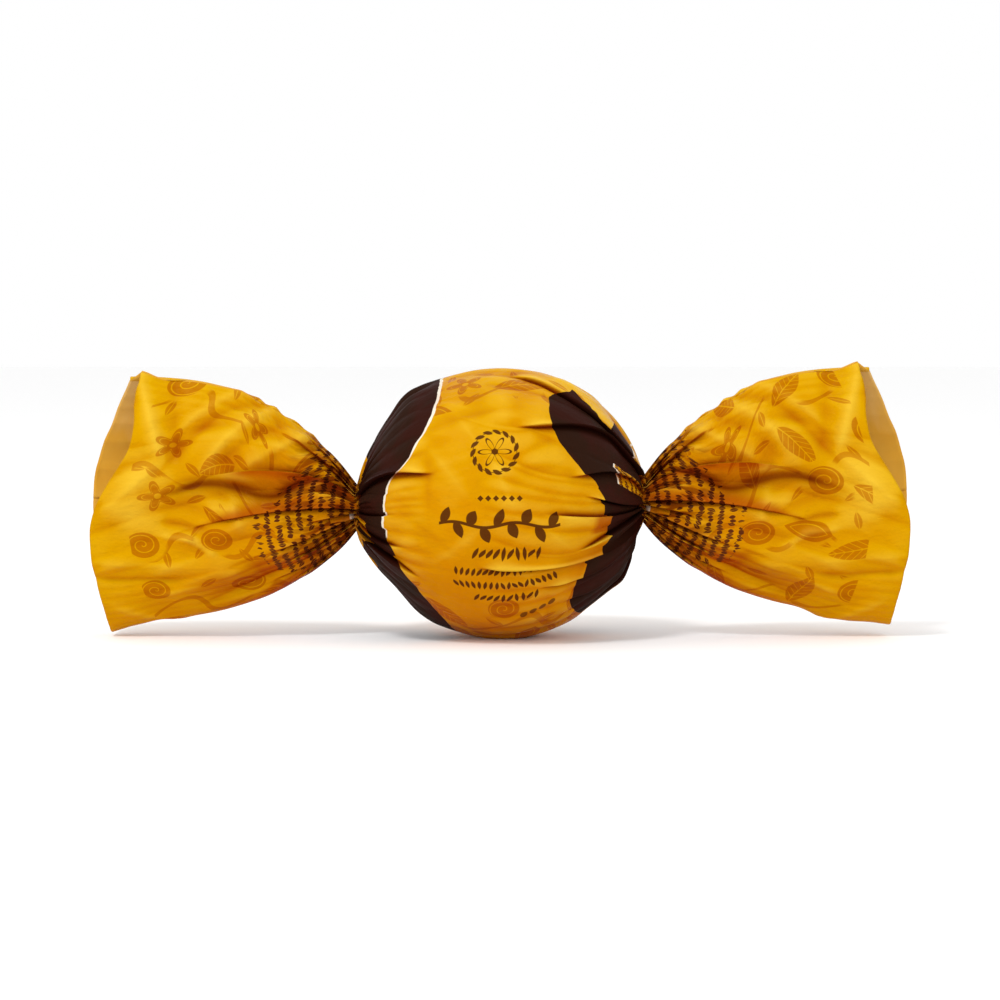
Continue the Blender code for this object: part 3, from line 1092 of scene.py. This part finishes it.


# the outer film: its print, with painted light and shade mixed into the colour
def printedFilmWithPaintedLight():
    material, shader, along, around = newFilm("printedFilmWithPaintedLight")
    repeat = labelLook["repeat"]
    label = ((around / repeat + 0.5).maths("FRACT") - 0.5) * repeat
    out = abs(along)
    wobble = filmTexture(along, around, 0.35, 2.0) - 0.5
    onBall = inked(out - filmLook["ballEnd"], 0.4)
    wingShare = inked(filmLook["wingStart"] - out, 2.0)
    front = inked(abs(around) - 29.0)
    brown, pale, folded = brownFields(along, label, wobble, front)
    colour, shadeUnder = yellowWithPaintedLight(along, around, out, wingShare)

    onTop = onBall * (1.0 - inked(abs(label - 1.5) - 14.0)) * inked(along - 12)
    onWings = inked(34.0 - out, 3.0) * inked(out - 59.0)
    tone = motifs(along, around) * either(onWings, onTop) * (1.0 - brown)
    colour = mixColours(colour, labelLook["motif"], tone * 0.85, "MULTIPLY")
    # painted shade under the wings
    colour = mixColours(colour, labelLook["doubledAndShade"], shadeUnder, "MULTIPLY")
    # a band on the ball's right, just below the middle, made darker orange
    darkerBand = inked(13.3 - along, 1.2) * inked(abs(label + 2.2) - 1.9, 0.4) * onBall
    colour = mixColours(colour, labelLook["doubledAndShade"], darkerBand * 0.85, "MULTIPLY")

    ragged = filmTexture(out * 0.0, around, 0.6, 1.0) * 5.0 + edgeCurve(label + 4.0, 13.0, 6.5, 32.5)
    # a painted highlight on the wing just beyond the knot, kept clear of print and painted shade
    knotGlint = inked(abs(around + 3.4) - 0.9) * wingShare * inked(out - 31.0)
    beans = seeds(along, around) * inked(out - ragged) * (1.0 - knotGlint)
    beans = beans * either(inked(25.5 - out), inked(18.2 - along) * folded)
    colour = mixColours(colour, labelLook["bean"], beans)
    faceInk = labelPrint(along, label) * inked(out - 12.0) * onBall
    colour = mixColours(colour, labelLook["grain"], faceInk * 0.93)
    tint = inked(0.5 - filmTexture(along, around, 0.16, 2.0), 0.16)
    brownTint = mixColours(labelLook["brown"], labelLook["brownDeep"], tint)
    colour = mixColours(colour, brownTint, brown)
    colour = mixColours(colour, labelLook["whiteLine"], pale)

    # painted shade: darker orange in the film's sharp valleys
    valleyShade = marked(along, "relief").maths("MULTIPLY", -0.8, clamp=True)
    colour = mixColours(colour, labelLook["fold"], valleyShade, "MULTIPLY")
    # painted shade where the film is drawn tight at the knot
    shadeAtKnot = inked(abs(out - filmLook["tightest"]) - 1.6, 5.0) * (1.0 - brown) * (0.6 - knotGlint * 0.4)
    colour = mixColours(colour, labelLook["knotShade"], shadeAtKnot, "MULTIPLY")
    # painted shade in the pockets beneath the pleats' edges and along the wing's long valley
    colour = mixColours(colour, labelLook["pocketShade"], marked(along, "pocketShade") * 0.9, "MULTIPLY")
    # painted shade: dark patches between the folds near the knot on the wings
    foldShadePatches = inked(0.53 - filmTexture(along * 0.3, around * 0.9, 0.6, 2.0), 0.08)
    foldShadePatches = foldShadePatches * wingShare * inked(out - 36.0, 7.0) * (1.0 - knotGlint)
    colour = mixColours(colour, labelLook["pocketShade"], foldShadePatches * 0.85, "MULTIPLY")
    # darker beside the pleats' edges: partly the doubled film, partly painted shade along the folds
    layersAndShade = marked(along, "layersAndShade") * (0.9 + wingShare * 0.1)
    colour = mixColours(colour, labelLook["doubledAndShade"], layersAndShade, "MULTIPLY")
    # the painted highlight beyond the knot
    colour = mixColours(colour, labelLook["whiteLine"], knotGlint * inked(out - 28.2))
    plug(shader, "Base Color", colour)

    streaks = filmTexture(along * 0.25, around, 0.8, 3.0)
    rough = streaks * filmLook["streaks"] + filmLook["leastRough"] + brown * filmLook["brownRough"]
    plug(shader, "Roughness", rough)
    fine = filmTexture(along * 0.6, around, 1.1, 4.0) + filmTexture(along, around, 0.4, 2.0) * 1.2
    height = fine * (1.0 - brown * 0.7)
    bumps = {"Strength": filmLook["bumpStrength"], "Distance": filmLook["bumpDepth"], "Height": height}
    plug(shader, "Normal", along.node("Bump", {}, bumps, "Normal"))
    shader.inputs["IOR"].default_value = filmLook["refraction"]
    shader.inputs["Specular Tint"].default_value = filmLook["reflected"]
    return material


def filmInsideWithGleam():
    material, shader, along, around = newFilm("filmInsideWithGleam")
    haze = filmTexture(along * 0.5, around * 0.25, 0.5, 4.0)
    colour = mixColours(labelLook["insideLow"], labelLook["inside"], haze)
    # a painted highlight: the inside turns paler towards the top of the back
    gleam = inked(around + 82.0 + (haze - 0.5) * 12.0, 12.0)
    plug(shader, "Base Color", mixColours(colour, labelLook["insideGleam"], gleam))
    plug(shader, "Roughness", haze * 0.2 + filmLook["insideRough"])
    shader.inputs["IOR"].default_value = filmLook["insideRefraction"]
    return material


print("printing the film")
outside = printedFilmWithPaintedLight()
inside = filmInsideWithGleam()
print("wrapping the ball")
ballFilm = buildBallFilm()
ballFilm.data.materials.append(outside)
print("spreading the wings")
wings = [buildWing(-1), buildWing(1)]
for piece in [ballFilm] + wings:
    piece.data.shade_smooth()
    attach(piece, "root")
    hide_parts("wrapped_truffle")

setting = {
    "table": (0.97, 0.97, 0.97, 1),
    "tableRough": 0.8,
    "surround": (1, 1, 1, 1),
    "lights": {  # each one's place in metres, size and power
        "keyLight": ((-0.25, -0.42, 0.72), 0.16, 2.5),
        "stripLight": ((-0.75, -0.35, 0.25), 0.12, 0.35),
        "fillLight": ((0.55, -0.6, 0.35), 0.16, 0.4),
    },
    "lens": 120.0,
    "sensor": 36.0,
    "viewWidth": 139.4,  # millimetres across the picture at the truffle
    "lookAt": 19.0,
    "elevation": 3.0,
}


def addLight(name, at, size, power):
    bpy.ops.object.light_add(type="AREA", location=at)
    light = bpy.context.object
    light.name = name
    light.data.size = size
    light.data.energy = power
    aim = np.array([0, 0, 0.018]) - np.array(at)
    light.rotation_euler = (
        math.atan2(math.hypot(aim[0], aim[1]), -aim[2]),
        0.0,
        math.atan2(aim[1], aim[0]) - math.pi / 2,
    )


def buildSetting():
    deselectAll()
    bpy.ops.mesh.primitive_plane_add(size=6.0, location=(0, 0, -0.00005))
    table = bpy.context.object
    table.name = "table"
    surface = bpy.data.materials.new("paleTable")
    surface.use_nodes = True
    shader = surface.node_tree.nodes["Principled BSDF"]
    shader.inputs["Base Color"].default_value = setting["table"]
    shader.inputs["Roughness"].default_value = setting["tableRough"]
    table.data.materials.append(surface)
    world = bpy.data.worlds.new("studio")
    bpy.context.scene.world = world
    world.use_nodes = True
    background = world.node_tree.nodes["Background"]
    background.inputs["Color"].default_value = setting["surround"]
    background.inputs["Strength"].default_value = 1.0
    for name, look in setting["lights"].items():
        addLight(name, *look)
    distance = setting["viewWidth"] * setting["lens"] / setting["sensor"] * mm
    tilt = math.radians(setting["elevation"])
    bpy.ops.object.camera_add(
        location=(0, -distance * math.cos(tilt), setting["lookAt"] * mm + distance * math.sin(tilt)),
        rotation=(math.pi / 2 - tilt, 0, 0),
    )
    camera = bpy.context.object
    camera.data.lens = setting["lens"]
    camera.data.clip_start = 0.01
    bpy.context.scene.camera = camera
    bpy.context.scene.view_settings.view_transform = "Standard"


print("setting the table")
buildSetting()
